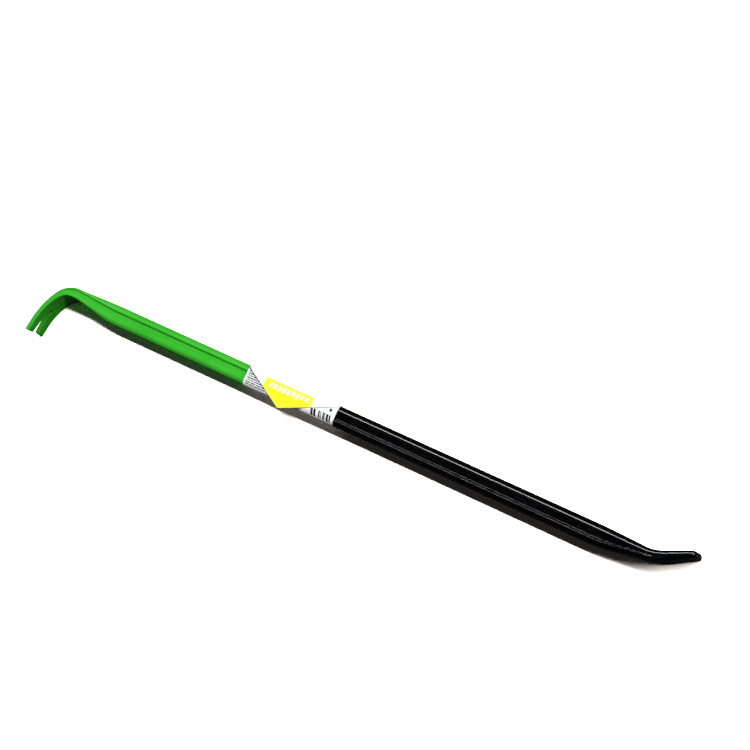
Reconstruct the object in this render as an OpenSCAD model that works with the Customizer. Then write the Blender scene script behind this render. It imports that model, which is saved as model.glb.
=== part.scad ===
// Wrecking bar: a forged flat oval bar with a V-slotted claw at one end and a bent chisel at the
// other. One half is enamelled green and the other black, and a paper label is wrapped round the
// middle, over the line where the two colours meet.
//
// The bar lies on its side, as it does on a floor. +X runs from the claw to the chisel, +Y points
// away from the side that the claw reaches to, and +Z is up. The origin is under the middle of the
// whole bar, on the plane that the claw and the chisel rest on.
//
// The back line is the side of the bar that faces away from the claw's reach. Every length along
// an end is measured along it, and every thickness is measured inwards from it.

/* [Bar] */
// Overall length, from the back of the claw to the tip of the chisel
overall_length = 900; // [700:10:1200]
// Depth of the bar's section, in the plane of the bends
bar_depth = 26; // [22:1:32]
// Width of the bar's section, across the plane of the bends
bar_width = 15; // [12:0.5:18]
// Depth of the groove rolled along each wide side
groove_depth = 2.6; // [0.5:0.1:3]
// Width of each sloping wall of the groove
groove_wall = 2; // [1:0.1:2.5]
// Width of the claw and of the chisel
end_width = 36; // [30:1:44]
// Thickness of the enamel
enamel_thickness = 0.25; // [0.15:0.05:0.4]

/* [Claw] */
// Outside radius of the tight bend next to the bar
claw_bend_radius = 37; // [32:1:50]
// Angle of the tight bend
claw_bend_angle = 55; // [40:1:65]
// Outside radius of the gentle curve that the claw ends in
claw_curl_radius = 105; // [90:5:160]
// Angle of the gentle curve
claw_curl_angle = 27; // [15:1:32]
// Straight length at the claw's tip
claw_tip_length = 14; // [8:1:20]
// Thickness of the claw at its tip
claw_thickness = 6.5; // [5:0.5:8]
// Straight length over which the bar is forged down towards the claw
claw_taper_length = 58; // [45:1:90]
// Width of the nail slot at its mouth
slot_mouth = 13; // [8:0.5:16]
// Width of the nail slot at its inner end
slot_end = 5; // [2:0.5:6]
// Length of the nail slot
slot_length = 36; // [24:1:40]

/* [Chisel] */
// Radius of the chisel's bend, on the back line
chisel_bend_radius = 50; // [40:5:90]
// Angle of the chisel's bend
chisel_bend_angle = 24; // [12:1:30]
// Straight length of the chisel beyond its bend
chisel_length = 35; // [28:1:50]
// Thickness of the chisel at its tip
chisel_thickness = 8.5; // [6:0.5:10]
// Straight length over which the bar is forged down towards the chisel
chisel_taper_length = 64; // [50:1:110]

/* [Label] */
// Length of the paper label along the bar
label_length = 130; // [100:5:160]
// Distance from the middle of the bar to the middle of the label, towards the claw
label_offset = 78; // [0:1:150]
// Distance that the flap's point stands out past the bar
flap_overhang = 7; // [2:0.5:10]
// Distance from the middle of the label to the flap's point, towards the claw
flap_offset = 7; // [-20:1:20]

/* [Hidden] */

// The forged ends are drawn in by this much on their back line.
claw_setback = 2;
chisel_setback = 2.5;
// Radii on the claw's and the chisel's long edges, and the bevel round their tips.
end_edge_radius = 1.6;
tip_bevel = 1.2;
// Each taper ends this share of the way round its bend, with this thickness and groove depth.
claw_taper_share = 0.22;
chisel_taper_share = 1;
root_thickness = 12.5;
claw_root_groove = 1.6;
chisel_root_groove = 0;
// A groove depth below zero makes the claw's groove run out before its tip, which stays flat.
claw_tip_groove = -0.05;

paper_thickness = 0.3;
paper_slack = 0.15;
glue_size = [50, 5, 0.12];
glue_inset = 1;

corner_steps = 4;
hook_bend_steps = 8;
hook_curl_steps = 5;
taper_steps = 9;
chisel_bend_steps = 4;

green = [0.16, 0.60, 0.13];
black = [0.03, 0.03, 0.035];
steel = [0.42, 0.42, 0.43];
paper = [0.93, 0.93, 0.91];
glue = [0.85, 0.80, 0.62];

// ---- Paths ----------------------------------------------------------------------------------
// A path is a list of [length, turn] legs. A turn towards the claw's side is positive. A place on
// it is [along, across, heading], with across growing towards the claw's side.

function arc_length(radius, angle) = PI * radius * angle / 180;

claw_path = [
    [claw_taper_length, 0],
    [arc_length(claw_bend_radius, claw_bend_angle), claw_bend_angle],
    [arc_length(claw_curl_radius, claw_curl_angle), claw_curl_angle],
    [claw_tip_length, 0],
];

chisel_path = [
    [chisel_taper_length, 0],
    [arc_length(chisel_bend_radius, chisel_bend_angle), -chisel_bend_angle],
    [chisel_length, 0],
];

function advance(place, distance, leg) =
    let (
        heading = place[2],
        end_heading = heading + leg[1] * distance / leg[0]
    )
    leg[1] == 0
        ? place + [distance * cos(heading), distance * sin(heading), 0]
        : let (radius = leg[0] * 180 / (PI * leg[1]))
          [
              place[0] + radius * (sin(end_heading) - sin(heading)),
              place[1] + radius * (cos(heading) - cos(end_heading)),
              end_heading,
          ];

function walk(path, distance, leg = 0, place = [0, 0, 0]) =
    leg == len(path) - 1 || distance <= path[leg][0]
        ? advance(place, distance, path[leg])
        : walk(path, distance - path[leg][0], leg + 1, advance(place, path[leg][0], path[leg]));

function path_length(path, leg = 0) = leg == len(path) ? 0 : path[leg][0] + path_length(path, leg + 1);

// ---- Sections -------------------------------------------------------------------------------
// A section is [setback, thickness, width, edge radius inwards, edge radius across, groove depth].

function smooth(t) = let (c = min(max(t, 0), 1)) c * c * (3 - 2 * c);

function blend(a, b, t) = a + (b - a) * smooth(t);

bar_section = [0, bar_depth, bar_width, bar_width / 2, bar_width / 2, groove_depth];

function end_section(setback, thickness, groove) =
    [setback, thickness, end_width, end_edge_radius, end_edge_radius, groove];

claw_root = end_section(claw_setback, root_thickness, claw_root_groove);
claw_tip = end_section(claw_setback, claw_thickness, claw_tip_groove);
chisel_root = end_section(chisel_setback, root_thickness, chisel_root_groove);
chisel_tip = end_section(chisel_setback, chisel_thickness, 0);

// The claw thins quickly beyond its root and then hardly at all. The chisel thins evenly.
function claw_section(distance) =
    let (
        root_at = claw_taper_length + claw_taper_share * claw_path[1][0],
        left = 1 - (distance - root_at) / (path_length(claw_path) - root_at)
    )
    distance < root_at
        ? blend(bar_section, claw_root, distance / root_at)
        : claw_tip + (claw_root - claw_tip) * pow(left, 3);

function chisel_section(distance) =
    let (
        root_at = chisel_taper_length + chisel_taper_share * chisel_path[1][0],
        left = 1 - (distance - root_at) / (path_length(chisel_path) - root_at)
    )
    distance < root_at
        ? blend(bar_section, chisel_root, distance / root_at)
        : chisel_tip + (chisel_root - chisel_tip) * left;

// Corner points of a section, as [inwards, across], drawn in by inset all round.
function section_corner(s, inset, sign_in, sign_across, from_angle) =
    let (
        middle = s[0] + s[1] / 2,
        half_in = s[1] / 2 - inset,
        half_across = s[2] / 2 - inset,
        radius_in = max(s[3] - inset, 0.3),
        radius_across = max(s[4] - inset, 0.3)
    )
    [
        for (i = [0:corner_steps])
            let (angle = from_angle + 90 * i / corner_steps)
            [
                middle + sign_in * (half_in - radius_in) + radius_in * cos(angle),
                sign_across * (half_across - radius_across) + radius_across * sin(angle),
            ]
    ];

// The two floor corners of the groove on one wide side, from sign_in to the other edge.
function section_groove(s, inset, sign_in, sign_across) =
    let (
        middle = s[0] + s[1] / 2,
        floor_half = max(s[1] / 2 - s[3] - groove_wall, 0.2),
        floor_across = s[2] / 2 - max(s[5], 0) - inset
    )
    [
        for (side = [sign_in, -sign_in])
            [middle + side * floor_half, sign_across * floor_across]
    ];

function section_ring(s, inset) = concat(
    section_corner(s, inset, 1, 1, 0),
    section_groove(s, inset, 1, 1),
    section_corner(s, inset, -1, 1, 90),
    section_corner(s, inset, -1, -1, 180),
    section_groove(s, inset, -1, -1),
    section_corner(s, inset, 1, -1, 270)
);

// ---- Stations -------------------------------------------------------------------------------
// A station is [place, section, inset]. The last two stations of an end make its bevelled tip.

function steps_between(start, end, steps) = [for (i = [1:steps]) start + (end - start) * i / steps];

claw_body_end = path_length(claw_path) - tip_bevel;
chisel_body_end = path_length(chisel_path) - tip_bevel;
claw_bend_end = claw_taper_length + claw_path[1][0];
claw_curl_end = claw_bend_end + claw_path[2][0];
chisel_bend_end = chisel_taper_length + chisel_path[1][0];

claw_distances = concat(
    [0],
    steps_between(0, claw_taper_length, taper_steps),
    steps_between(claw_taper_length, claw_bend_end, hook_bend_steps),
    steps_between(claw_bend_end, claw_curl_end, hook_curl_steps),
    [claw_body_end]
);

chisel_distances = concat(
    [0],
    steps_between(0, chisel_taper_length, taper_steps),
    steps_between(chisel_taper_length, chisel_bend_end, chisel_bend_steps),
    [chisel_body_end]
);

function station_ring(place, section, inset) = [
    for (point = section_ring(section, inset))
        [
            place[0] - point[0] * sin(place[2]),
            place[1] + point[0] * cos(place[2]),
            point[1],
        ]
];

function claw_rings(inset) = concat(
    [for (d = claw_distances) station_ring(walk(claw_path, d), claw_section(d), inset)],
    [
        let (d = path_length(claw_path) - inset)
        station_ring(walk(claw_path, d), claw_section(d), inset + tip_bevel)
    ]
);

function chisel_rings(inset) = concat(
    [for (d = chisel_distances) station_ring(walk(chisel_path, d), chisel_section(d), inset)],
    [
        let (d = path_length(chisel_path) - inset)
        station_ring(walk(chisel_path, d), chisel_section(d), inset + tip_bevel)
    ]
);

function coordinates(rings, axis) = [for (ring = rings) for (point = ring) point[axis]];

// ---- Places of the whole bar ----------------------------------------------------------------

claw_along = max(coordinates(claw_rings(0), 0));
claw_across = max(coordinates(claw_rings(0), 1));
chisel_along = max(coordinates(chisel_rings(0), 0));
chisel_across = min(coordinates(chisel_rings(0), 1));

claw_start_x = claw_along - overall_length / 2;
chisel_start_x = overall_length / 2 - chisel_along;
back_y = (claw_across + chisel_across) / 2;
axis_y = back_y - bar_depth / 2;
axis_z = end_width / 2;

label_x = -label_offset;
top_flat = bar_depth - bar_width;

function reversed(list) = [for (i = [len(list) - 1:-1:0]) list[i]];

// Rings in their final place, each counted the same way round as seen from the claw. The claw's
// start at its tip, and the chisel's end at its tip.
function placed_claw_rings(inset) = [
    for (ring = reversed(claw_rings(inset)))
        [for (p = ring) [claw_start_x - p[0], back_y - p[1], axis_z + p[2]]]
];

function placed_chisel_rings(inset) = [
    for (ring = chisel_rings(inset))
        [for (p = ring) [chisel_start_x + p[0], back_y - p[1], axis_z + p[2]]]
];

function middle_ring(inset) = [
    for (point = section_ring(bar_section, inset))
        [label_x, back_y - point[0], axis_z + point[1]]
];

// Rings of each half's enamel, from the tip to the middle of the label.
function claw_half_rings(inset) = concat(placed_claw_rings(inset), [middle_ring(inset)]);

function chisel_half_rings(inset) = [
    for (ring = reversed(concat([middle_ring(inset)], placed_chisel_rings(inset))))
        reversed(ring)
];

// ---- Shapes ---------------------------------------------------------------------------------

// Faces of a skin through rings of count points each. The points start at index first.
function side_faces(rings, count, first) = [
    for (r = [0:rings - 2])
        for (i = [0:count - 1])
            let (
                a = first + r * count + i,
                b = first + r * count + (i + 1) % count
            )
            each [[a, b, b + count], [a, b + count, a + count]]
];

function cap_faces(count, first) = [for (i = [1:count - 2]) [first, first + i, first + i + 1]];

function flipped(faces) = [for (face = faces) reversed(face)];

// A closed solid through a list of rings.
module loft(rings) {
    count = len(rings[0]);
    last = (len(rings) - 1) * count;
    polyhedron(
        points = [for (ring = rings) each ring],
        faces = concat(
            side_faces(len(rings), count, 0),
            flipped(cap_faces(count, 0)),
            cap_faces(count, last)
        )
    );
}

// A thin shell between two lists of rings. It is closed over the first ring and open at the last.
module shell(outer_rings, inner_rings) {
    count = len(outer_rings[0]);
    inner = len(outer_rings) * count;
    rim = [
        for (i = [0:count - 1])
            let (
                j = (i + 1) % count,
                outer_rim = inner - count,
                inner_rim = 2 * inner - count
            )
            each [
                [outer_rim + i, outer_rim + j, inner_rim + j],
                [outer_rim + i, inner_rim + j, inner_rim + i],
            ]
    ];
    polyhedron(
        points = [for (ring = concat(outer_rings, inner_rings)) each ring],
        faces = concat(
            side_faces(len(outer_rings), count, 0),
            flipped(cap_faces(count, 0)),
            flipped(side_faces(len(inner_rings), count, inner)),
            cap_faces(count, inner),
            rim
        )
    );
}

// The tapering nail slot, cut through the claw from its tip.
module nail_slot() {
    tip = walk(claw_path, path_length(claw_path));
    overshoot = 5;
    cut_depth = 60;
    end_half = slot_end / 2;
    widening = (slot_mouth - slot_end) / 2 / slot_length;
    outside_half = slot_mouth / 2 + widening * overshoot;
    translate([claw_start_x - tip[0], back_y - tip[1], axis_z])
        rotate([90, 90, tip[2]])
            linear_extrude(height = cut_depth, center = true) {
                translate([0, slot_length])
                    circle(r = end_half, $fn = 32);
                polygon([
                    [-end_half, slot_length],
                    [end_half, slot_length],
                    [outside_half, -overshoot],
                    [-outside_half, -overshoot],
                ]);
            }
}

// ---- Sub-parts ------------------------------------------------------------------------------

// The forging itself, inside the enamel.
module steel_bar() {
    color(steel)
        difference() {
            loft(concat(placed_claw_rings(enamel_thickness), placed_chisel_rings(enamel_thickness)));
            nail_slot();
        }
}

// Enamel on the claw half, up to the middle of the label.
module green_enamel() {
    color(green)
        difference() {
            shell(claw_half_rings(0), claw_half_rings(enamel_thickness));
            nail_slot();
        }
}

// Enamel on the chisel half, from the middle of the label.
module black_enamel() {
    color(black)
        shell(chisel_half_rings(0), chisel_half_rings(enamel_thickness));
}

// The bar's outline with the grooves bridged over, grown all round.
module oval(grow) {
    radius = bar_width / 2 + grow;
    square([top_flat, 2 * radius], center = true);
    for (side = [-1, 1])
        translate([side * top_flat / 2, 0])
            circle(r = radius, $fn = 64);
}

module oval_rod(grow, length) {
    translate([label_x, axis_y, axis_z])
        rotate([90, 0, 90])
            linear_extrude(height = length, center = true)
                oval(grow);
}

// The sheet's pointed end, which lies over its first layer and stands out past the bar. Its edges
// run from the label's corners on the back line to the point. It reaches halfway down through the
// first layer, so that the two join.
module flap() {
    base_y = top_flat / 2;
    point_y = -bar_depth / 2 - flap_overhang;
    share = (base_y - point_y) / (bar_depth / 2 - point_y);
    first_layer_middle = bar_width / 2 + paper_slack + paper_thickness / 2;
    translate([label_x - flap_offset, axis_y, axis_z + first_layer_middle])
        linear_extrude(height = paper_thickness / 2 + paper_thickness)
            polygon([
                [share * (flap_offset - label_length / 2), base_y],
                [share * (flap_offset + label_length / 2), base_y],
                [0, point_y],
            ]);
}

module paper_label() {
    color(paper)
        difference() {
            union() {
                difference() {
                    oval_rod(paper_slack + paper_thickness, label_length);
                    oval_rod(paper_slack, label_length + 2);
                }
                flap();
            }
            glue_strip();
        }
}

// Between the two layers, just inside the flap's base.
module glue_strip() {
    layers_meet_z = axis_z + bar_width / 2 + paper_slack + paper_thickness;
    glue_y = axis_y + top_flat / 2 - glue_inset - glue_size[1] / 2;
    translate([label_x - flap_offset / 2, glue_y, layers_meet_z])
        cube(glue_size, center = true);
}

// The glue between the two layers of the label.
module label_glue() {
    color(glue)
        glue_strip();
}

steel_bar();
green_enamel();
black_enamel();
paper_label();
label_glue();
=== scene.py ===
import math

import bmesh
import bpy
import numpy as np
from mathutils import Matrix, Vector, noise


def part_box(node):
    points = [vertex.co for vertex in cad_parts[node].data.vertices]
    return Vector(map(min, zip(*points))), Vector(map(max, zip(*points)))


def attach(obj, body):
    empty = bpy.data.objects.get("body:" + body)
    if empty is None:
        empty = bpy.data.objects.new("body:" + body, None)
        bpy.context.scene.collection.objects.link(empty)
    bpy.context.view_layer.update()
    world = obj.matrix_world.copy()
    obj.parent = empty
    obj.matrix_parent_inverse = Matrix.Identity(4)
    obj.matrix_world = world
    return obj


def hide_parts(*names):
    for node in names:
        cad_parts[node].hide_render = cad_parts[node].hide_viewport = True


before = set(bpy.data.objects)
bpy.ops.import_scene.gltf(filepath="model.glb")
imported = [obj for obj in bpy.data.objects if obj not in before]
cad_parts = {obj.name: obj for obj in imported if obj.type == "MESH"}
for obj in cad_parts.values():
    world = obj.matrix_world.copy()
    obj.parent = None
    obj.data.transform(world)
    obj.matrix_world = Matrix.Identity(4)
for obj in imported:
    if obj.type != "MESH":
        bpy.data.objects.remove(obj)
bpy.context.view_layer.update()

# Lengths are in millimetres up to the point where a mesh is made. The floor, the lights and the
# camera are placed in metres.
MM = 0.001


def box_mm(node):
    """The low and the high corner of a CAD node's box."""
    low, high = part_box(node)
    return [value / MM for value in low], [value / MM for value in high]


# ---- Places taken from the frame -------------------------------------------------------------

CLAW_LOW, CLAW_HIGH = box_mm("green_enamel")
_, CHISEL_HIGH = box_mm("black_enamel")
LABEL_LOW, LABEL_HIGH = box_mm("paper_label")
GLUE_LOW, GLUE_HIGH = box_mm("label_glue")

# The CAD's label is this thick, and stands this far off the enamel.
CAD_PAPER_THICKNESS = 0.3
PAPER_SLACK = 0.15

MEETING_X = CLAW_HIGH[0]
END_WIDTH = CLAW_HIGH[2] - CLAW_LOW[2]
AXIS_Z = (CLAW_HIGH[2] + CLAW_LOW[2]) / 2
BACK_Y = LABEL_HIGH[1] - PAPER_SLACK - CAD_PAPER_THICKNESS

# ---- The forging: dimensions ------------------------------------------------------------------

BAR_DEPTH = 26
BAR_WIDTH = 15
EDGE_RADIUS = BAR_WIDTH / 2
EDGE_RADIUS_INWARDS = 7
AXIS_Y = BACK_Y - BAR_DEPTH / 2
GROOVE_DEPTH = 2.6
# Each wall of the groove takes up this share of half a wide side.
GROOVE_WALL_SHARE = 0.54
SMALLEST_EDGE_RADIUS = 0.3

SLOT_LENGTH = 36
SLOT_MOUTH = 13
SLOT_END = 5
SLOT_EDGE_RADIUS = 0.7

ENAMEL_THICKNESS = 0.25
# The steel's skin stays this far inside the enamel's inner skin.
CORE_GAP = 0.02

# ---- The forging: paths along the back line ---------------------------------------------------
# A path is a list of (length, turn) legs: a straight taper, a bend and whatever follows it. A turn
# towards the claw's side is positive.


def straight(length):
    return length, 0


def bend(radius, turn):
    """A leg that turns through an angle in degrees."""
    return abs(radius * math.radians(turn)), turn


CLAW_PATH = [straight(58), bend(37, 55), bend(105, 27), straight(14)]
CHISEL_PATH = [straight(64), bend(50, -24), straight(35)]


def path_length(path):
    return sum(length for length, _ in path)


def walk(path, distance):
    """(along, aside, heading) at a distance along a path. Aside is towards the claw's side, and the
    bar is straight before the path's start."""
    along, aside, heading = min(distance, 0), 0, 0
    left = max(distance, 0)
    for index, (length, turn) in enumerate(path):
        is_last = index == len(path) - 1
        step = left if is_last else min(left, length)
        if turn:
            radius = length / math.radians(turn)
            end = heading + step / radius
            along += radius * (math.sin(end) - math.sin(heading))
            aside += radius * (math.cos(heading) - math.cos(end))
            heading = end
        else:
            along += step * math.cos(heading)
            aside += step * math.sin(heading)
        left -= step
        if left <= 0:
            break
    return along, aside, heading


# ---- The forging: sections --------------------------------------------------------------------
# A section is (setback, thickness, width, edge radius inwards, edge radius across, groove depth).
# Inwards is away from the back line, and across is along the section's width.

BAR_SECTION = np.array([0, BAR_DEPTH, BAR_WIDTH, EDGE_RADIUS_INWARDS, EDGE_RADIUS, GROOVE_DEPTH])


def end_section(setback, thickness, edge_radius, groove):
    return np.array([setback, thickness, END_WIDTH, edge_radius, edge_radius, groove])


def blend(first, second, share):
    """The section that lies this share of the way from the first to the second."""
    return first + (second - first) * share


def smooth(t):
    t = min(max(t, 0), 1)
    return t * t * (3 - 2 * t)


def steep(t):
    """Like smooth, with flatter ends and a steeper middle."""
    t = min(max(t, 0), 1)
    return t ** 3 * (10 - 15 * t + 6 * t * t)


def slot_wall(from_tip, inset):
    """Half the width of the nail slot, or 0 beyond its rounded end."""
    end_radius = SLOT_END / 2 + inset
    beyond = from_tip - SLOT_LENGTH
    if beyond <= 0:
        return end_radius - beyond * (SLOT_MOUTH - SLOT_END) / 2 / SLOT_LENGTH
    return math.sqrt(max(end_radius ** 2 - beyond ** 2, 0))


def slot_edge_drop(from_tip, across, inset):
    """How far a face rolls down at the slot's edge."""
    beyond = from_tip - SLOT_LENGTH
    if beyond <= 0:
        clear = across - slot_wall(from_tip, inset)
    else:
        clear = math.hypot(beyond, across) - SLOT_END / 2 - inset
    if clear >= SLOT_EDGE_RADIUS:
        return 0
    rolled = SLOT_EDGE_RADIUS - max(clear, 0)
    return SLOT_EDGE_RADIUS - math.sqrt(SLOT_EDGE_RADIUS ** 2 - rolled ** 2)


# Spacing of an outline's points over a face, round an edge, along a wide side and down the slot's
# wall. A face's points are closer together near its middle, where the slot is.
FACE_SPACING = np.linspace(0, 1, 17) ** 1.8
EDGE_ANGLES = np.radians(np.linspace(0, 90, 13))
SIDE_SPACING = np.linspace(1, -1, 41)
WALL_SPACING = np.linspace(0, 1, 9)


def half_outline(section, inset, from_tip):
    """Points (inwards, across) of a section's upper half, from the middle of its inner face to the
    middle of its back. from_tip is the distance from a slotted tip, and infinite without a slot."""
    setback, thickness, width, radius_in, radius_across, groove = section
    middle = setback + thickness / 2
    half_in = thickness / 2 - inset
    half_across = width / 2 - inset
    radius_in = max(radius_in - inset, SMALLEST_EDGE_RADIUS)
    radius_across = max(radius_across - inset, SMALLEST_EDGE_RADIUS)
    flat_in = half_in - radius_in
    flat_across = half_across - radius_across
    wall = slot_wall(from_tip, inset)

    face = []
    for share in FACE_SPACING:
        across = wall + (flat_across - wall) * share
        face.append((half_in - slot_edge_drop(from_tip, across, inset), across))
    edge = [
        (flat_in + radius_in * math.cos(angle), flat_across + radius_across * math.sin(angle))
        for angle in EDGE_ANGLES[1:]
    ]
    side = []
    for share in SIDE_SPACING[1:-1]:
        depth = groove * steep((1 - abs(share)) / GROOVE_WALL_SHARE)
        side.append((flat_in * share, half_across - depth))
    front = face + edge
    back = [(-inwards, across) for inwards, across in reversed(front)]
    return [(middle + inwards, across) for inwards, across in front + side + back]


def wall_outline(section, inset, from_tip):
    """Points down the nail slot's wall, from the back to the inner face."""
    middle = section[0] + section[1] / 2
    half_in = section[1] / 2 - inset - SLOT_EDGE_RADIUS
    wall = slot_wall(from_tip, inset)
    return [(middle + half_in * (2 * share - 1), wall) for share in WALL_SPACING]


# ---- The forging: skins -----------------------------------------------------------------------

# Sizes of the coarse and the fine lumps that hammering and grinding leave, and their shares.
COARSE_LUMP = 24
FINE_LUMP = 5.5
COARSE_SHARE = 0.6
FINE_SHARE = 0.4
FINE_OFFSET = Vector((7, 3, 1))

# Spacing of the rings along the plain bar, a taper, a bend, the slot's end and the slot itself.
BAR_SPACING = 3
TAPER_SPACING = 1.5
BEND_SPACING = 1.2
SLOT_END_SPACING = 0.25
SLOT_SPACING = 1
# The close rings at the slot's end go on for this far on both sides of it.
SLOT_END_REACH = 3
TIP_RINGS = 8
REACH_SAMPLES = 400


def swell(point, amount):
    """How far the forging's surface stands off its drawn place at a point."""
    place = Vector(point)
    coarse = noise.noise(place / COARSE_LUMP)
    fine = noise.noise(place / FINE_LUMP + FINE_OFFSET)
    return amount * (COARSE_SHARE * coarse + FINE_SHARE * fine)


def tip_rounding(radius):
    """(distance back from the tip, inset) of the rings that round off a tip."""
    return [
        (radius * (1 - math.sin(angle)), radius * (1 - math.cos(angle)))
        for angle in np.radians(np.linspace(0, 90, TIP_RINGS))
    ]


def steps(start, end, count):
    """Evenly spaced values from the start, without the end."""
    return list(np.linspace(start, end, count + 1)[:-1])


def spaced(start, end, spacing):
    """Values from the start that are about this far apart, without the end."""
    return steps(start, end, max(1, round(abs(end - start) / spacing)))


def wound(corners, turn):
    """A face's corners, in reverse where the turn is negative, so that it faces outwards."""
    return corners if turn > 0 else corners[::-1]


def strip(first, second, turn):
    """Faces between two rows of vertices, as far as the shorter row goes."""
    faces = []
    for i in range(min(len(first), len(second)) - 1):
        faces.append(wound((first[i], first[i + 1], second[i + 1], second[i]), turn))
    return faces


class Half:
    """One half of the forging, from the middle of the label to its tip.

    Its section is the bar's where the path starts, and has become root once root_share of the first
    bend is passed. From there it thins to tip: evenly where thinning is 1, and mostly at first where
    it is more.
    """

    def __init__(self, path, tip_x, direction, root, root_share, tip, thinning, tip_radius,
                 unevenness, slotted):
        self.path = path
        self.direction = direction
        self.root = root
        self.tip = tip
        self.thinning = thinning
        self.tip_radius = tip_radius
        self.unevenness = unevenness
        self.slotted = slotted
        self.end = path_length(path)
        self.taper = path[0][0]
        self.root_at = self.taper + root_share * path[1][0]
        self.start_x = tip_x - direction * self.reach()
        self.stations = self.all_stations()

    def section_at(self, distance):
        if distance < self.root_at:
            return blend(BAR_SECTION, self.root, smooth(distance / self.root_at))
        left = 1 - (distance - self.root_at) / (self.end - self.root_at)
        return blend(self.tip, self.root, left ** self.thinning)

    def reach(self):
        """How far the half reaches along the bar from its path's start."""
        reach = 0
        for distance in np.linspace(0, self.end, REACH_SAMPLES):
            along, _, heading = walk(self.path, distance)
            setback, thickness = self.section_at(distance)[:2]
            for inwards in (setback, setback + thickness):
                reach = max(reach, along - inwards * math.sin(heading))
        return reach

    def all_stations(self):
        """(distance along the path, inset of the rounded tip) of every ring."""
        meeting = (MEETING_X - self.start_x) * self.direction
        slot_start = self.end - SLOT_LENGTH - SLOT_END / 2
        tip_start = self.end - self.tip_radius
        distances = spaced(meeting, 0, BAR_SPACING) + spaced(0, self.taper, TAPER_SPACING)
        if self.slotted:
            before = slot_start - SLOT_END_REACH
            after = slot_start + SLOT_END_REACH
            distances += spaced(self.taper, before, BEND_SPACING)
            distances += spaced(before, after, SLOT_END_SPACING)
            distances += spaced(after, tip_start, SLOT_SPACING)
        else:
            distances += spaced(self.taper, tip_start, BEND_SPACING)
        stations = [(distance, 0) for distance in distances]
        return stations + [(self.end - back, inset) for back, inset in tip_rounding(self.tip_radius)]

    def from_tip(self, distance):
        return self.end - distance if self.slotted else math.inf

    def place(self, distance, inwards, across):
        along, aside, heading = walk(self.path, distance)
        x = self.start_x + self.direction * (along - inwards * math.sin(heading))
        y = BACK_Y - aside - inwards * math.cos(heading)
        return x, y, AXIS_Z + across

    def points(self, outline, station, inset):
        """An outline's points at a station, drawn in by inset and moved by the forging's own
        unevenness. That is taken from the outer skin, so that an inner skin stays parallel to it."""
        distance, tip_inset = station
        section = self.section_at(distance)
        middle = section[0] + section[1] / 2
        amount = self.unevenness * smooth(distance / self.taper)
        outer = outline(section, tip_inset, self.from_tip(distance))
        inner = outline(section, tip_inset + inset, self.from_tip(distance))
        back = inset if tip_inset > 0 else 0
        placed = []
        for (outer_in, outer_across), (inwards, across) in zip(outer, inner):
            growth = swell(self.place(distance, outer_in, outer_across), amount)
            reach = math.hypot(inwards - middle, across) or 1
            factor = 1 + growth / reach
            grown = middle + (inwards - middle) * factor
            placed.append(self.place(distance - back, grown, across * factor))
        return placed

    def skin(self, inset):
        """Vertices, faces and the open rim of the half's surface, drawn in by inset. A surface that
        is drawn in has a small opening where the slot's wall starts, which the outer one hides."""
        verts = []
        faces = []
        rim = []
        tips = []
        for side in (1, -1):
            previous = None
            for station in self.stations:
                outline = self.points(half_outline, station, inset)
                wall = []
                if self.from_tip(station[0]) <= SLOT_LENGTH + SLOT_END / 2:
                    wall = self.points(wall_outline, station, inset)
                row = list(range(len(verts), len(verts) + len(outline) + len(wall)))
                verts += [(x, y, AXIS_Z + side * (z - AXIS_Z)) for x, y, z in outline + wall]
                closed = row + row[:1] if wall else row
                if previous:
                    faces += strip(previous, closed, side * self.direction)
                else:
                    rim.append(row)
                previous = closed
            tips.append(row)
        upper, lower = tips
        if self.slotted:
            faces += [wound(upper, -self.direction), wound(lower, self.direction)]
        else:
            faces.append(wound(upper + lower[::-1], -self.direction))
        return verts, faces, rim


# ---- Meshes -----------------------------------------------------------------------------------

# In metres and degrees: points that are closer are joined, and edges that turn more stay sharp.
MERGE_DISTANCE = 1e-7
SHARP_ANGLE = 50


def mesh_from_mm(name, verts, faces):
    mesh = bpy.data.meshes.new(name)
    mesh.from_pydata([Vector(vert) * MM for vert in verts], [], faces)
    return mesh


def smooth_object(name, mesh, material):
    """Puts a mesh in the scene, smooth but for its sharp edges."""
    mesh.shade_smooth()
    mesh.set_sharp_from_angle(angle=math.radians(SHARP_ANGLE))
    mesh.materials.append(material)
    obj = bpy.data.objects.new(name, mesh)
    bpy.context.scene.collection.objects.link(obj)
    return obj


def joined_object(name, verts, faces, material):
    """An object made from millimetre points, with the points that coincide joined."""
    mesh = mesh_from_mm(name, verts, faces)
    work = bmesh.new()
    work.from_mesh(mesh)
    bmesh.ops.remove_doubles(work, verts=work.verts, dist=MERGE_DISTANCE)
    bmesh.ops.recalc_face_normals(work, faces=work.faces)
    work.to_mesh(mesh)
    work.free()
    return smooth_object(name, mesh, material)


def shifted(rows, shift):
    return [[index + shift for index in row] for row in rows]


def enamel_coat(name, half, material):
    """A coat of enamel as a shell round one half of the forging."""
    verts, faces, rim = half.skin(0)
    inner_verts, inner_faces, inner_rim = half.skin(ENAMEL_THICKNESS)
    faces += [face[::-1] for face in shifted(inner_faces, len(verts))]
    for outer_row, inner_row in zip(rim, shifted(inner_rim, len(verts))):
        faces += strip(outer_row, inner_row, 1)
    return joined_object(name, verts + inner_verts, faces, material)


def forging(name, halves, material):
    """The steel itself, as one skin from tip to tip."""
    verts = []
    faces = []
    for half in halves:
        half_verts, half_faces, _ = half.skin(ENAMEL_THICKNESS + CORE_GAP)
        faces += shifted(half_faces, len(verts))
        verts += half_verts
    return joined_object(name, verts, faces, material)


# ---- The label --------------------------------------------------------------------------------

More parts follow.
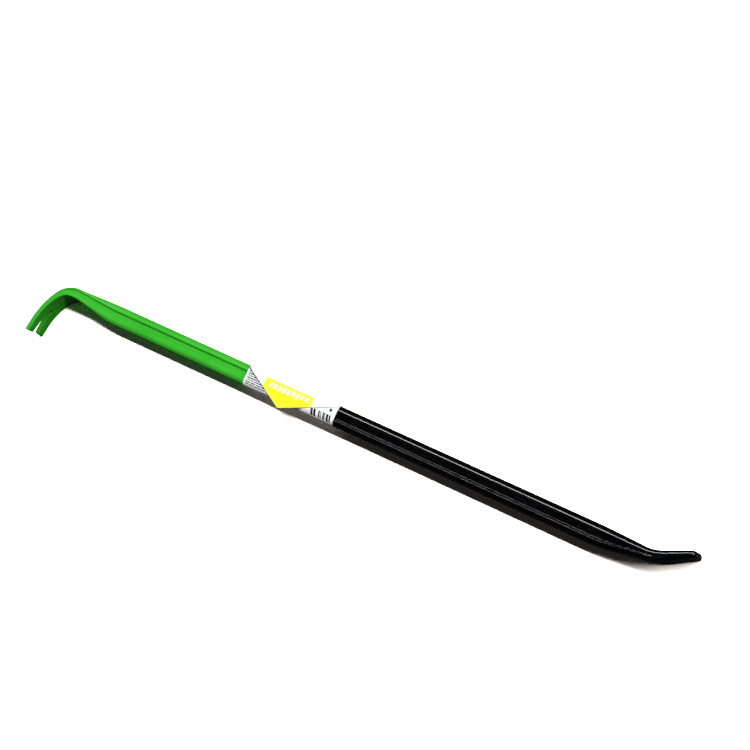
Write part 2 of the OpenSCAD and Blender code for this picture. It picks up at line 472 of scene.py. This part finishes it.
SHEET_THICKNESS = 0.2
LABEL_MIDDLE_X = (LABEL_LOW[0] + LABEL_HIGH[0]) / 2
LABEL_HALF = (LABEL_HIGH[0] - LABEL_LOW[0]) / 2
SIDE_HALF = BAR_DEPTH / 2 - EDGE_RADIUS
# How far outside the bar the sheet is drawn, in its first and in its second layer.
FIRST_LAYER = PAPER_SLACK + SHEET_THICKNESS / 2
SECOND_LAYER = PAPER_SLACK + CAD_PAPER_THICKNESS + SHEET_THICKNESS
SHEET_START = math.radians(-20)
SHEET_CLIMB = math.radians(60)

# The flap is as wide as the label at its base, and narrows to a blunt point.
FLAP_BASE = 11
FLAP_POINT = LABEL_LOW[1] - AXIS_Y
FLAP_POINT_X = -7
FLAP_POINT_HALF = 0.5

BRIDGE_SAG = 0.25
CREASE = 0.10
CREASE_LENGTH = 16
CREASE_BREADTH = 7
# Keeps one layer's creases from following the other's.
CREASE_LAYER_OFFSET = 5
LEFT_EDGE_LIFT = 1.3
RIGHT_EDGE_LIFT = 0.7
POINT_LIFT = 1.3
# The flap's edges lift from this far below its base, and more sharply the higher this power is.
LIFT_BELOW_BASE = 2
LIFT_POWER = 8

SHEET_COLUMNS = 140
START_ROWS = 19
SIDE_ROWS = 13
TURN_ROWS = 24
CLIMB_ROWS = 30
FLAP_ROWS = 48


def bridge_sag(y):
    """How far the paper sinks where it spans a groove."""
    return BRIDGE_SAG * max(0, 1 - (y / SIDE_HALF) ** 2)


def sheet_rows():
    """(y, z, down, layer) of the sheet's rows, from its hidden start, round the bar, to the flap's
    point. y and z are from the bar's axis, and down is the length round the sheet from its top."""
    rows = []
    radius = EDGE_RADIUS + FIRST_LAYER
    half_turn = math.pi * radius
    # The hidden start, up to the top.
    for angle in steps(SHEET_START, math.pi / 2, START_ROWS):
        y = SIDE_HALF + radius * math.cos(angle)
        down = -SIDE_HALF - radius * (math.pi / 2 - angle)
        rows.append((y, radius * math.sin(angle), down, 0))
    # Over the top, under the flap.
    for y in steps(SIDE_HALF, -SIDE_HALF, SIDE_ROWS):
        rows.append((y, radius - bridge_sag(y), -y, 0))
    # Down the claw's side.
    for angle in steps(0, math.pi, TURN_ROWS):
        y = -SIDE_HALF - radius * math.sin(angle)
        rows.append((y, radius * math.cos(angle), SIDE_HALF + radius * angle, 0))
    # Along the underside.
    for y in steps(-SIDE_HALF, SIDE_HALF, SIDE_ROWS):
        rows.append((y, bridge_sag(y) - radius, 2 * SIDE_HALF + half_turn + y, 0))
    # Up the other side, where the sheet climbs over its own start.
    for angle in steps(0, math.pi, CLIMB_ROWS):
        grown = radius + (SECOND_LAYER - FIRST_LAYER) * smooth(angle / SHEET_CLIMB)
        y = SIDE_HALF + grown * math.sin(angle)
        down = -SIDE_HALF - grown * (math.pi - angle)
        rows.append((y, -grown * math.cos(angle), down, 0 if angle < math.pi / 2 else 1))
    # Over the top again, to the flap's point.
    radius = EDGE_RADIUS + SECOND_LAYER
    for y in np.linspace(SIDE_HALF, FLAP_POINT, FLAP_ROWS):
        hang = max(0, -y - SIDE_HALF) / (-FLAP_POINT - SIDE_HALF)
        rows.append((y, radius - bridge_sag(y) + POINT_LIFT * hang ** 2, -y, 1))
    return rows


def sheet_span(y, layer):
    """Ends of a row along the bar, from the label's middle."""
    if layer == 0 or y >= FLAP_BASE:
        return -LABEL_HALF, LABEL_HALF
    share = (FLAP_BASE - y) / (FLAP_BASE - FLAP_POINT)
    left = -LABEL_HALF + (FLAP_POINT_X - FLAP_POINT_HALF + LABEL_HALF) * share
    right = LABEL_HALF + (FLAP_POINT_X + FLAP_POINT_HALF - LABEL_HALF) * share
    return left, right


def edge_lift(t, y, layer):
    """How far the flap's edges stand up. t goes from 0 to 1 along a row."""
    if layer == 0 or y >= FLAP_BASE - LIFT_BELOW_BASE:
        return 0
    highest = LEFT_EDGE_LIFT if t < 0.5 else RIGHT_EDGE_LIFT
    return highest * abs(2 * t - 1) ** LIFT_POWER


def label_sheet(name, material):
    """One sheet of paper wrapped round the bar and over its own start. Its print is placed by the
    point attribute sheet, which holds (x from the label's middle, down, layer) in millimetres."""
    verts = []
    places = []
    faces = []
    rows = sheet_rows()
    for y, z, down, layer in rows:
        left, right = sheet_span(y, layer)
        outward = 1 if z >= 0 else -1
        for t in np.linspace(0, 1, SHEET_COLUMNS + 1):
            x = left + (right - left) * t
            place = Vector((x / CREASE_LENGTH, down / CREASE_BREADTH, layer * CREASE_LAYER_OFFSET))
            raised = CREASE * noise.noise(place) + edge_lift(t, y, layer)
            verts.append((LABEL_MIDDLE_X + x, AXIS_Y + y, AXIS_Z + z + outward * raised))
            places.append((x, down, layer))
    width = SHEET_COLUMNS + 1
    for start in range(0, len(verts) - width, width):
        faces += strip(range(start, start + width), range(start + width, start + 2 * width), 1)

    mesh = mesh_from_mm(name, verts, faces)
    attribute = mesh.attributes.new("sheet", "FLOAT_VECTOR", "POINT")
    attribute.data.foreach_set("vector", [value for place in places for value in place])
    work = bmesh.new()
    work.from_mesh(mesh)
    bmesh.ops.recalc_face_normals(work, faces=work.faces)
    bmesh.ops.solidify(work, geom=work.faces[:], thickness=SHEET_THICKNESS * MM)
    work.to_mesh(mesh)
    work.free()
    return smooth_object(name, mesh, material)


GLUE_STEPS = 40
GLUE_AROUND = 12
# The share of the gap between the layers that the glue fills.
GLUE_FILL = 0.8
GLUE_WAVER = 0.18
GLUE_WAVE = 5
GLUE_NOISE_ROW = 2
# The bead's ends are rounder the lower this power is, and never narrower than this share of it.
GLUE_END_POWER = 6
GLUE_END_SHARE = 0.1


def glue_bead(name, material):
    """A thin bead of glue with a wavering outline, between the sheet's two layers."""
    half_length = (GLUE_HIGH[0] - GLUE_LOW[0]) / 2
    half_breadth = (GLUE_HIGH[1] - GLUE_LOW[1]) / 2
    middle_x = (GLUE_LOW[0] + GLUE_HIGH[0]) / 2
    middle_y = (GLUE_LOW[1] + GLUE_HIGH[1]) / 2 - AXIS_Y
    height = (FIRST_LAYER + SECOND_LAYER) / 2 + EDGE_RADIUS
    half_height = (SECOND_LAYER - FIRST_LAYER - SHEET_THICKNESS) / 2 * GLUE_FILL
    verts = []
    rings = []
    for t in np.linspace(-1, 1, GLUE_STEPS + 1):
        x = half_length * t
        taper = math.sqrt(max(1 - t ** GLUE_END_POWER, GLUE_END_SHARE ** 2))
        waver = 1 + GLUE_WAVER * noise.noise(Vector((x / GLUE_WAVE, GLUE_NOISE_ROW, 0)))
        ring = list(range(len(verts), len(verts) + GLUE_AROUND))
        rings.append(ring + ring[:1])
        for angle in steps(0, 2 * math.pi, GLUE_AROUND):
            y = middle_y + half_breadth * taper * waver * math.cos(angle)
            z = height - bridge_sag(y) + half_height * taper * math.sin(angle)
            verts.append((middle_x + x, AXIS_Y + y, AXIS_Z + z))
    faces = [rings[0][:-1], rings[-1][-2::-1]]
    for first, second in zip(rings, rings[1:]):
        faces += strip(first, second, 1)
    return joined_object(name, verts, faces, material)


# ---- Materials --------------------------------------------------------------------------------
# Object coordinates are in metres, so a noise scale is in lumps per metre. A colour is linear.

SOCKETS = {
    "color": "Base Color",
    "roughness": "Roughness",
    "metallic": "Metallic",
    "specular": "Specular IOR Level",
    "normal": "Normal",
}


class Shader:
    """A material and short ways to add nodes to it."""

    def __init__(self, name):
        self.material = bpy.data.materials.new(name)
        self.material.use_nodes = True
        self.tree = self.material.node_tree
        self.surface = self.tree.nodes["Principled BSDF"]

    def feed(self, socket, value):
        if isinstance(value, bpy.types.NodeSocket):
            self.tree.links.new(value, socket)
        else:
            socket.default_value = value

    def finish(self, **values):
        for key, value in values.items():
            self.feed(self.surface.inputs[SOCKETS[key]], value)
        return self.material

    def place(self):
        return self.tree.nodes.new("ShaderNodeTexCoord").outputs["Object"]

    def noise(self, scale, detail, vector=None):
        node = self.tree.nodes.new("ShaderNodeTexNoise")
        node.inputs["Scale"].default_value = scale
        node.inputs["Detail"].default_value = detail
        self.feed(node.inputs["Vector"], vector or self.place())
        return node.outputs[0]

    def blotches(self, scale, detail, low, high):
        """Noise that is 0 below one level, 1 above another and blurred between them."""
        return self.ramp(self.noise(scale, detail), low, high)

    def steady(self, value):
        """A random number that stays the same over each whole step of value."""
        node = self.tree.nodes.new("ShaderNodeTexWhiteNoise")
        node.noise_dimensions = "1D"
        self.feed(node.inputs["W"], self.math("FLOOR", value))
        return node.outputs["Value"]

    def math(self, operation, *values):
        node = self.tree.nodes.new("ShaderNodeMath")
        node.operation = operation
        for socket, value in zip(node.inputs, values):
            self.feed(socket, value)
        return node.outputs[0]

    def leaning(self, x, down, lean):
        """x moved by a share of down, so that what is drawn with it slants."""
        return self.math("ADD", x, self.math("MULTIPLY", down, lean))

    def all_of(self, *masks):
        result = masks[0]
        for mask in masks[1:]:
            result = self.math("MULTIPLY", result, mask)
        return result

    def any_of(self, *masks):
        result = masks[0]
        for mask in masks[1:]:
            result = self.math("MAXIMUM", result, mask)
        return result

    def ramp(self, value, low, high, out_low=0, out_high=1):
        node = self.tree.nodes.new("ShaderNodeMapRange")
        for socket, given in zip(node.inputs, (value, low, high, out_low, out_high)):
            self.feed(socket, given)
        return node.outputs[0]

    def within(self, value, low, high, soft=0.15):
        """1 where value lies between low and high, with a soft border."""
        return self.all_of(
            self.ramp(value, low - soft, low + soft),
            self.ramp(value, high - soft, high + soft, out_low=1, out_high=0),
        )

    def mix(self, factor, first, second):
        node = self.tree.nodes.new("ShaderNodeMix")
        node.data_type = "RGBA"
        self.feed(node.inputs[0], factor)
        self.feed(node.inputs[6], first)
        self.feed(node.inputs[7], second)
        return node.outputs[2]

    def tinge(self, color, mask, share, other):
        """A colour with a share of another where the mask is 1. The share can be a mask as well."""
        return self.mix(self.math("MULTIPLY", mask, share), color, other)

    def bump(self, height, distance, strength=1, normal=None):
        node = self.tree.nodes.new("ShaderNodeBump")
        node.inputs["Distance"].default_value = distance
        node.inputs["Strength"].default_value = strength
        self.feed(node.inputs["Height"], height)
        if normal:
            self.feed(node.inputs["Normal"], normal)
        return node.outputs[0]


def grey(level):
    return level, level, level, 1


def enamel(name, deep, light, scuffed, gloss, rough, shine):
    """Sprayed enamel: a colour that drifts between deep and light, a fine orange peel, and scuffs
    and specks of dust in the scuffed colour. Its roughness is gloss, and rough on the scuffs."""
    shader = Shader(name)
    patches = shader.blotches(scale=22, detail=3, low=0.35, high=0.7)
    specks = shader.blotches(scale=620, detail=1, low=0.71, high=0.76)
    scuffs = shader.all_of(
        shader.blotches(scale=60, detail=4, low=0.56, high=0.68),
        shader.blotches(scale=340, detail=3, low=0.45, high=0.6),
    )
    color = shader.mix(patches, deep, light)
    color = shader.tinge(color, scuffs, 0.1, scuffed)
    color = shader.tinge(color, specks, 0.3, scuffed)
    roughness = shader.ramp(scuffs, 0, 1, out_low=gloss, out_high=rough)
    peel = shader.bump(shader.noise(scale=480, detail=2), distance=0.03 * MM)
    grain = shader.bump(specks, distance=0.06 * MM, normal=peel)
    return shader.finish(color=color, roughness=roughness, normal=grain, specular=shine)


def forged_steel(name):
    """Mill-scale grey steel with a forged, mottled surface."""
    shader = Shader(name)
    scale = shader.blotches(scale=90, detail=5, low=0.4, high=0.65)
    color = shader.mix(scale, grey(0.10), (0.24, 0.23, 0.22, 1))
    roughness = shader.ramp(scale, 0, 1, out_low=0.62, out_high=0.38)
    pits = shader.bump(shader.noise(scale=260, detail=4), distance=0.12 * MM)
    return shader.finish(color=color, roughness=roughness, metallic=0.9, normal=pits)


def glue(name):
    """Dried amber glue with small bubbles."""
    shader = Shader(name)
    bubbles = shader.blotches(scale=900, detail=1, low=0.6, high=0.7)
    color = shader.mix(bubbles, (0.62, 0.50, 0.26, 1), (0.80, 0.72, 0.50, 1))
    domes = shader.bump(bubbles, distance=0.03 * MM)
    return shader.finish(color=color, roughness=0.35, normal=domes)


# ---- The label's print, and a painted shadow on it --------------------------------------------
# Places are (from, to) in millimetres: x along the bar from the label's middle, and down round the
# sheet from its top. A lean is how far a shape slants along the bar for each millimetre down, and a
# share is the printed part of each pitch.

PAPER_WHITE = (0.84, 0.85, 0.86, 1)
PRINT_YELLOW = (0.90, 0.92, 0.004, 1)
# Grey for the small print, and for the painted shadow along the flap's edge.
DASH_AND_SHADOW_GREY = (0.012, 0.012, 0.03, 1)
PRINT_BLACK = (0.008, 0.008, 0.009, 1)

ROW_PITCH = 2.6
ROW_SHARE = (0.22, 0.72)
DASHES_X = (-62, -33)
DASHES_DOWN = (-8, 9.5)
DASHES_PER_MM = 0.75
# Far enough apart in the noise for one row's dashes not to follow another's.
DASH_ROW_OFFSET = 3.7

STRIPE_LEAN = -0.28
STRIPES_X = (35, 60)
STRIPES_DOWN = (2.5, 11.5)
HEAVY_STRIPE_X = (31, 34)
HEAVY_STRIPE_DOWN = (3.2, 11.5)
SQUARE_X = (55.5, 58.5)
SQUARE_DOWN = (-5.2, -1.8)

PANEL_X = (-38, 31)
PANEL_DOWN = (-8.3, 30)
BLOCK_LEAN = 0.25
BLOCK_PITCH = 6.4
BLOCK_SHARE = (0.16, 0.80)
BLOCKS_X = (-32, 27)
BLOCKS_DOWN = (-5.2, 2)
BLOCK_LOWEST = 2.4
BLOCK_UNEVENNESS = 3

# Painted shadow: a grey band on the sheet under the flap follows the flap's slanting edge at the claw
# end.
FLAP_EDGE_LEAN = (LABEL_HALF + FLAP_POINT_X) / (FLAP_BASE - FLAP_POINT)
FLAP_EDGE_AT = FLAP_EDGE_LEAN * FLAP_BASE - LABEL_HALF
EDGE_SHADOW_X = (FLAP_EDGE_AT - 3.2, FLAP_EDGE_AT + 0.5)


def small_print(shader, x, down):
    """Rows of short dashes in the place of small print, at the claw end of the sheet."""
    row = shader.math("DIVIDE", down, ROW_PITCH)
    line = shader.within(shader.math("FRACT", row), *ROW_SHARE, soft=0.06)
    cells = shader.tree.nodes.new("ShaderNodeCombineXYZ")
    shader.feed(cells.inputs[0], shader.math("MULTIPLY", x, DASHES_PER_MM))
    shader.feed(cells.inputs[1], shader.math("MULTIPLY", shader.math("FLOOR", row), DASH_ROW_OFFSET))
    dashes = shader.ramp(shader.noise(scale=1, detail=2, vector=cells.outputs[0]), low=0.36, high=0.42)
    area = shader.all_of(shader.within(x, *DASHES_X), shader.within(down, *DASHES_DOWN))
    return shader.all_of(line, dashes, area)


def stripes(shader, x, down):
    """A block of upright stripes of uneven width at the chisel end of the sheet, a heavy one beside
    it and a small square."""
    slanted = shader.leaning(x, down, STRIPE_LEAN)
    bars = shader.all_of(
        shader.ramp(shader.steady(slanted), low=0.36, high=0.40),
        shader.within(slanted, *STRIPES_X),
        shader.within(down, *STRIPES_DOWN),
    )
    heavy = shader.all_of(
        shader.within(slanted, *HEAVY_STRIPE_X),
        shader.within(down, *HEAVY_STRIPE_DOWN),
    )
    square = shader.all_of(shader.within(x, *SQUARE_X), shader.within(down, *SQUARE_DOWN))
    return shader.any_of(bars, heavy, square)


def white_blocks(shader, x, down):
    """A row of slanted blocks of uneven height in the place of a name, on the yellow panel."""
    slanted = shader.leaning(x, down, BLOCK_LEAN)
    column = shader.math("DIVIDE", slanted, BLOCK_PITCH)
    longer = shader.math("MULTIPLY", shader.steady(column), BLOCK_UNEVENNESS)
    stretched = shader.math("ADD", down, longer)
    return shader.all_of(
        shader.within(shader.math("FRACT", column), *BLOCK_SHARE, soft=0.06),
        shader.within(slanted, *BLOCKS_X),
        shader.within(down, *BLOCKS_DOWN, soft=0.3),
        shader.within(stretched, BLOCKS_DOWN[0], BLOCK_LOWEST, soft=0.3),
    )


def printed_paper(name):
    """Coated paper. The flap has a yellow panel with white blocks, and the sheet under it has rows of
    dashes, a painted shadow as a grey band along the flap's edge, and stripes."""
    shader = Shader(name)
    attribute = shader.tree.nodes.new("ShaderNodeAttribute")
    attribute.attribute_name = "sheet"
    split = shader.tree.nodes.new("ShaderNodeSeparateXYZ")
    shader.feed(split.inputs[0], attribute.outputs["Vector"])
    x, down, layer = split.outputs
    on_flap = shader.ramp(layer, low=0.45, high=0.55)
    under_flap = shader.math("SUBTRACT", 1, on_flap)

    panel = shader.all_of(
        on_flap,
        shader.within(x, *PANEL_X, soft=0.4),
        shader.within(down, *PANEL_DOWN, soft=0.4),
    )
    tint = shader.ramp(shader.noise(scale=160, detail=2), low=0.35, high=0.65, out_high=0.04)
    yellow = shader.mix(tint, PRINT_YELLOW, PAPER_WHITE)
    front = shader.mix(white_blocks(shader, x, down), yellow, PAPER_WHITE)
    color = shader.mix(panel, PAPER_WHITE, front)

    # Painted shadow: a grey band on the sheet under the flap, along its lifted edge at the claw end.
    edge_shadow = shader.within(shader.leaning(x, down, -FLAP_EDGE_LEAN), *EDGE_SHADOW_X, soft=0.3)
    dashes_and_edge_shadow = shader.any_of(small_print(shader, x, down), edge_shadow)
    color = shader.tinge(color, dashes_and_edge_shadow, under_flap, DASH_AND_SHADOW_GREY)
    color = shader.tinge(color, stripes(shader, x, down), under_flap, PRINT_BLACK)

    fibres = shader.bump(shader.noise(scale=1500, detail=3), distance=0.01 * MM)
    waves = shader.noise(scale=110, detail=2)
    cockle = shader.bump(waves, distance=0.2 * MM, strength=0.5, normal=fibres)
    return shader.finish(color=color, roughness=0.6, specular=0.1, normal=cockle)


# ---- The pieces -------------------------------------------------------------------------------

GREEN = enamel(
    "green_enamel_paint",
    deep=(0.030, 0.41, 0.018, 1),
    light=(0.042, 0.47, 0.025, 1),
    scuffed=(0.09, 0.46, 0.07, 1),
    gloss=0.36,
    rough=0.5,
    shine=0.15,
)
BLACK = enamel(
    "black_enamel_paint",
    deep=(0.0005, 0.0006, 0.0008, 1),
    light=(0.001, 0.0011, 0.0014, 1),
    scuffed=(0.02, 0.022, 0.025, 1),
    gloss=0.12,
    rough=0.22,
    shine=0.5,
)
CLAW = Half(
    path=CLAW_PATH,
    tip_x=CLAW_LOW[0],
    direction=-1,
    root=end_section(setback=2, thickness=12.5, edge_radius=1.6, groove=1.6),
    root_share=0.22,
    tip=end_section(setback=2, thickness=6.5, edge_radius=1.6, groove=0),
    thinning=3,
    tip_radius=1.8,
    unevenness=0.16,
    slotted=True,
)
CHISEL = Half(
    path=CHISEL_PATH,
    tip_x=CHISEL_HIGH[0],
    direction=1,
    root=end_section(setback=2.5, thickness=12.5, edge_radius=4.6, groove=0),
    root_share=1,
    tip=end_section(setback=2.5, thickness=8.5, edge_radius=3.9, groove=0),
    thinning=1,
    tip_radius=2.8,
    unevenness=0.55,
    slotted=False,
)

steel = forging("forged_bar", (CLAW, CHISEL), forged_steel("forged_steel_scale"))
claw_coat = enamel_coat("claw_half_enamel", CLAW, GREEN)
chisel_coat = enamel_coat("chisel_half_enamel", CHISEL, BLACK)
sheet = label_sheet("wrapped_label_sheet", printed_paper("printed_label_paper"))
bead = glue_bead("label_glue_bead", glue("dried_glue"))

for piece, node, slot in (
    (steel, "steel_bar", "forged_steel"),
    (claw_coat, "green_enamel", "green_enamel"),
    (chisel_coat, "black_enamel", "black_enamel"),
    (sheet, "paper_label", "printed_paper"),
    (bead, "label_glue", "glue"),
):
    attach(piece, "root")
    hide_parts(node)

# ---- The floor --------------------------------------------------------------------------------

FLOOR_HALF = 8.0
FLOOR_SEEN = (3.1, 2.85, 2.65, 1)
FLOOR_SEEN_LIGHTER = (3.2, 2.95, 2.75, 1)
FLOOR_BOUNCE = 0.2
FLOOR_MIRRORED = 0.03
# The floor's glow for the camera starts at the first distance from the origin, and is full at the
# second.
FAR_FROM = 0.65
FAR_TO = 1.6


def floor_material(name):
    """A matt board with the faintest mottling. The camera sees it overexposed, so that only the
    core of a shadow shows, and other rays see it darker, so that the enamel keeps its contrast.
    Far from the bar it glows for the camera, to make up for the key light's falling off."""
    shader = Shader(name)
    path = shader.tree.nodes.new("ShaderNodeLightPath")
    mottling = shader.noise(scale=3, detail=3)
    unseen = shader.mix(path.outputs["Is Glossy Ray"], grey(FLOOR_BOUNCE), grey(FLOOR_MIRRORED))
    shader.finish(color=unseen, roughness=0.9, specular=0)
    seen = shader.tree.nodes.new("ShaderNodeBsdfDiffuse")
    shader.feed(seen.inputs["Color"], shader.mix(mottling, FLOOR_SEEN, FLOOR_SEEN_LIGHTER))
    place = shader.tree.nodes.new("ShaderNodeNewGeometry").outputs["Position"]
    away = shader.tree.nodes.new("ShaderNodeVectorMath")
    away.operation = "LENGTH"
    shader.feed(away.inputs[0], place)
    far = shader.tree.nodes.new("ShaderNodeEmission")
    shader.feed(far.inputs["Strength"], shader.ramp(away.outputs["Value"], FAR_FROM, FAR_TO))
    brightened = shader.tree.nodes.new("ShaderNodeAddShader")
    shader.feed(brightened.inputs[0], seen.outputs[0])
    shader.feed(brightened.inputs[1], far.outputs[0])
    choice = shader.tree.nodes.new("ShaderNodeMixShader")
    shader.feed(choice.inputs[0], path.outputs["Is Camera Ray"])
    shader.feed(choice.inputs[1], shader.surface.outputs[0])
    shader.feed(choice.inputs[2], brightened.outputs[0])
    shader.feed(shader.tree.nodes["Material Output"].inputs["Surface"], choice.outputs[0])
    return shader.material


def add_floor():
    mesh = bpy.data.meshes.new("studio_floor")
    corners = [(-1, -1), (1, -1), (1, 1), (-1, 1)]
    mesh.from_pydata([(x * FLOOR_HALF, y * FLOOR_HALF, 0) for x, y in corners], [], [(0, 1, 2, 3)])
    mesh.materials.append(floor_material("studio_floor_board"))
    floor = bpy.data.objects.new("studio_floor", mesh)
    bpy.context.scene.collection.objects.link(floor)


# ---- Light and camera -------------------------------------------------------------------------

# The key light is a long strip that lies along the bar, so that shadows are sharp across the bar
# and smeared along it.
KEY_AZIMUTH = 90
KEY_ELEVATION = 65
KEY_DISTANCE = 2.4
KEY_MIDDLE_X = 0.8
KEY_LENGTH = 5.2
KEY_WIDTH = 0.24
KEY_POWER = 122
FILL = 0.008

# The camera's place was fitted to the outline that the bar has in the photograph.
CAMERA_AIM = Vector((0.0082, 0.080, AXIS_Z * MM))
CAMERA_AZIMUTH = -5.215
CAMERA_ELEVATION = 65.689
CAMERA_ROLL = -60.434
CAMERA_DISTANCE = 2.3514
CAMERA_LENS = 96
CAMERA_SENSOR = 36


def direction(azimuth, elevation):
    """Unit vector that points from the object towards an azimuth from +X and a height."""
    flat = math.cos(math.radians(elevation))
    return Vector((
        flat * math.cos(math.radians(azimuth)),
        flat * math.sin(math.radians(azimuth)),
        math.sin(math.radians(elevation)),
    ))


def facing(backward, roll=0):
    """Rotation of a camera or light that looks against backward, turned by roll."""
    right = Vector((0, 0, 1)).cross(backward).normalized()
    up = backward.cross(right)
    matrix = Matrix((right, up, backward)).transposed().to_4x4()
    return matrix @ Matrix.Rotation(math.radians(roll), 4, "Z")


def add_key():
    light = bpy.data.lights.new("key", "AREA")
    light.shape = "RECTANGLE"
    light.size = KEY_LENGTH
    light.size_y = KEY_WIDTH
    light.energy = KEY_POWER
    backward = direction(KEY_AZIMUTH, KEY_ELEVATION)
    place = backward * KEY_DISTANCE + Vector((KEY_MIDDLE_X, 0, 0))
    obj = bpy.data.objects.new("key", light)
    obj.matrix_world = Matrix.Translation(place) @ facing(backward)
    bpy.context.scene.collection.objects.link(obj)


def add_world():
    """White to the camera, and a weak even fill to everything else."""
    world = bpy.data.worlds.new("studio")
    world.use_nodes = True
    tree = world.node_tree
    background = tree.nodes["Background"]
    path = tree.nodes.new("ShaderNodeLightPath")
    strength = tree.nodes.new("ShaderNodeMapRange")
    strength.inputs["To Min"].default_value = FILL
    strength.inputs["To Max"].default_value = 1
    tree.links.new(path.outputs["Is Camera Ray"], strength.inputs["Value"])
    tree.links.new(strength.outputs[0], background.inputs["Strength"])
    background.inputs["Color"].default_value = grey(1)
    bpy.context.scene.world = world


def add_camera():
    camera = bpy.data.cameras.new("camera")
    camera.lens = CAMERA_LENS
    camera.sensor_width = CAMERA_SENSOR
    backward = direction(CAMERA_AZIMUTH, CAMERA_ELEVATION)
    place = CAMERA_AIM + backward * CAMERA_DISTANCE
    obj = bpy.data.objects.new("camera", camera)
    obj.matrix_world = Matrix.Translation(place) @ facing(backward, CAMERA_ROLL)
    bpy.context.scene.collection.objects.link(obj)
    bpy.context.scene.camera = obj


add_floor()
add_key()
add_world()
add_camera()
bpy.context.scene.view_settings.view_transform = "Standard"
